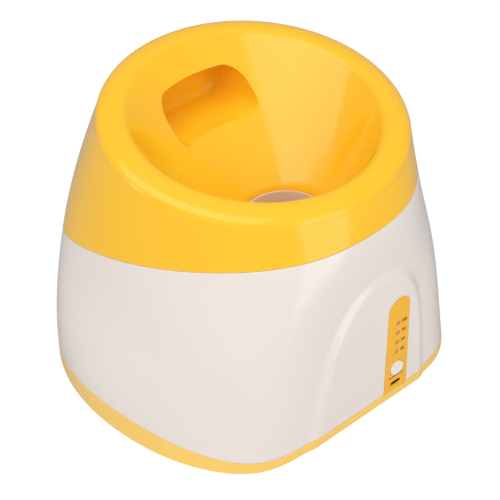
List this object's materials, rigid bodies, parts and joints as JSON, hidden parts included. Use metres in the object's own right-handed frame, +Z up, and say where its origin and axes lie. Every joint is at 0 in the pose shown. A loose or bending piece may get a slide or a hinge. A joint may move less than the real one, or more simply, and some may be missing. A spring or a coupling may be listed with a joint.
{
  "type": "automatic dog ball launcher",
  "caption": "Tapered round ball launcher for dogs: wide funnel on top with a hand pocket, flywheels inside, launch mouth low in front, button strip on the flat rear.",
  "frame": {"origin": "on the ground under the middle of the launcher's bounding box", "axes": "+Z up; -Y is the front with the launch mouth, +Y the flat rear with the control panel; +X to the left of someone who faces the rear"},
  "size_m": [0.291, 0.261, 0.2175],
  "materials": {
    "yellow_gloss": "glossy moulded",
    "white_gloss": "glossy moulded",
    "panel_yellow": "satin moulded",
    "pale_inner": "satin moulded",
    "clear_lens": "clear, polished",
    "black_plastic": "satin moulded",
    "grey_plastic": "satin moulded",
    "rubber": "matt",
    "zinc_steel": "zinc plated",
    "motor_can": "plated",
    "white_nylon": "satin moulded",
    "board_green": "solder mask",
    "cell_wrap": "shrink film"
  },
  "bodies": {
    "housing": {"hopper_cap": "yellow_gloss", "feed_chute": "pale_inner", "body_shell": "white_gloss", "base_tray": "yellow_gloss", "control_panel": "panel_yellow", "led_lens_1": "clear_lens", "led_lens_2": "clear_lens", "led_lens_3": "clear_lens", "led_lens_4": "clear_lens", "usb_socket": "zinc_steel", "mouth_ring": "yellow_gloss", "launch_barrel": "pale_inner", "motor_deck": "grey_plastic", "launch_motor_left": "motor_can", "launch_motor_right": "motor_can", "feed_motor": "motor_can", "feed_frame": "grey_plastic", "panel_board": "board_green", "tact_switch": "black_plastic", "main_board": "board_green", "battery_pack": "cell_wrap", "battery_strap": "black_plastic", "rubber_foot_1": "rubber", "shell_screw_1": "zinc_steel", "deck_screw_1": "zinc_steel", "cap_screw_1": "zinc_steel", "rubber_foot_2": "rubber", "shell_screw_2": "zinc_steel", "deck_screw_2": "zinc_steel", "cap_screw_2": "zinc_steel", "rubber_foot_3": "rubber", "shell_screw_3": "zinc_steel", "deck_screw_3": "zinc_steel", "cap_screw_3": "zinc_steel", "rubber_foot_4": "rubber", "shell_screw_4": "zinc_steel", "deck_screw_4": "zinc_steel", "cap_screw_4": "zinc_steel"},
    "flywheel_left_body": {"motor_shaft_left": "zinc_steel", "flywheel_left": "white_nylon", "tyre_left": "rubber"},
    "flywheel_right_body": {"motor_shaft_right": "zinc_steel", "flywheel_right": "white_nylon", "tyre_right": "rubber"},
    "feed_rotor": {"feed_wheel": "grey_plastic", "feed_shaft": "zinc_steel", "feed_gear": "white_nylon"},
    "pinion_rotor": {"feed_pinion": "white_nylon"},
    "button_body": {"power_button": "white_gloss"}
  },
  "joints": [
    {"name": "flywheel_left_spin", "type": "hinge", "parent": "housing", "child": "flywheel_left_body", "pos_m": [-0.054, -0.0662, 0.0433], "axis": [0, 0.1736, 0.9848], "continuous": true},
    {"name": "flywheel_right_spin", "type": "hinge", "parent": "housing", "child": "flywheel_right_body", "pos_m": [0.054, -0.0662, 0.0433], "axis": [0, 0.1736, 0.9848], "continuous": true},
    {"name": "feed_wheel_spin", "type": "hinge", "parent": "housing", "child": "feed_rotor", "pos_m": [0, 0.08675, 0.09], "axis": [1, 0, 0], "continuous": true},
    {"name": "feed_pinion_spin", "type": "hinge", "parent": "housing", "child": "pinion_rotor", "pos_m": [0, 0.08675, 0.06705], "axis": [1, 0, 0], "continuous": true},
    {"name": "power_button_press", "type": "slide", "parent": "housing", "child": "button_body", "axis": [0, -0.9994, -0.035], "range_m": [0, 0.001], "stiffness_N_per_m": 800}
  ],
  "couplings": [
    {"joint": "feed_pinion_spin", "follows": "feed_wheel_spin", "ratio": -2.4}
  ]
}
